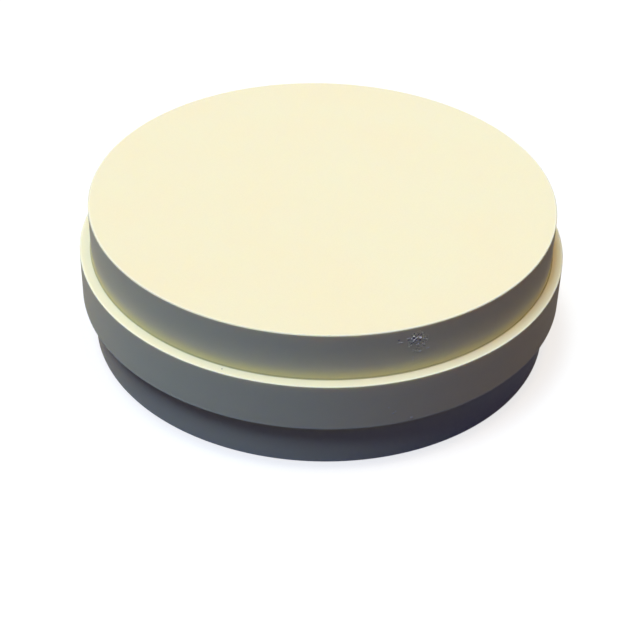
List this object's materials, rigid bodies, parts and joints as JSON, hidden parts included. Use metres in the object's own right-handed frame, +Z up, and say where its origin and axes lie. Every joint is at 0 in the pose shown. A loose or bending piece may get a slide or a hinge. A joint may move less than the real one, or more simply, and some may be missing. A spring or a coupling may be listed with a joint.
{
  "type": "dental milling disc",
  "caption": "Round stepped blank of pale cream ceramic for dental milling, with a clamping collar standing out half-way up its core.",
  "frame": {"origin": "centre of the face that the disc stands on", "axes": "+Z up the disc's axis; -Y towards the front, where the picture was taken from, and +X to the picture's right"},
  "size_m": [0.0984, 0.0984, 0.03],
  "materials": {
    "chalky_ceramic": "matte, chalky, pale cream"
  },
  "bodies": {
    "root": {"disc": "chalky_ceramic"}
  },
  "joints": []
}
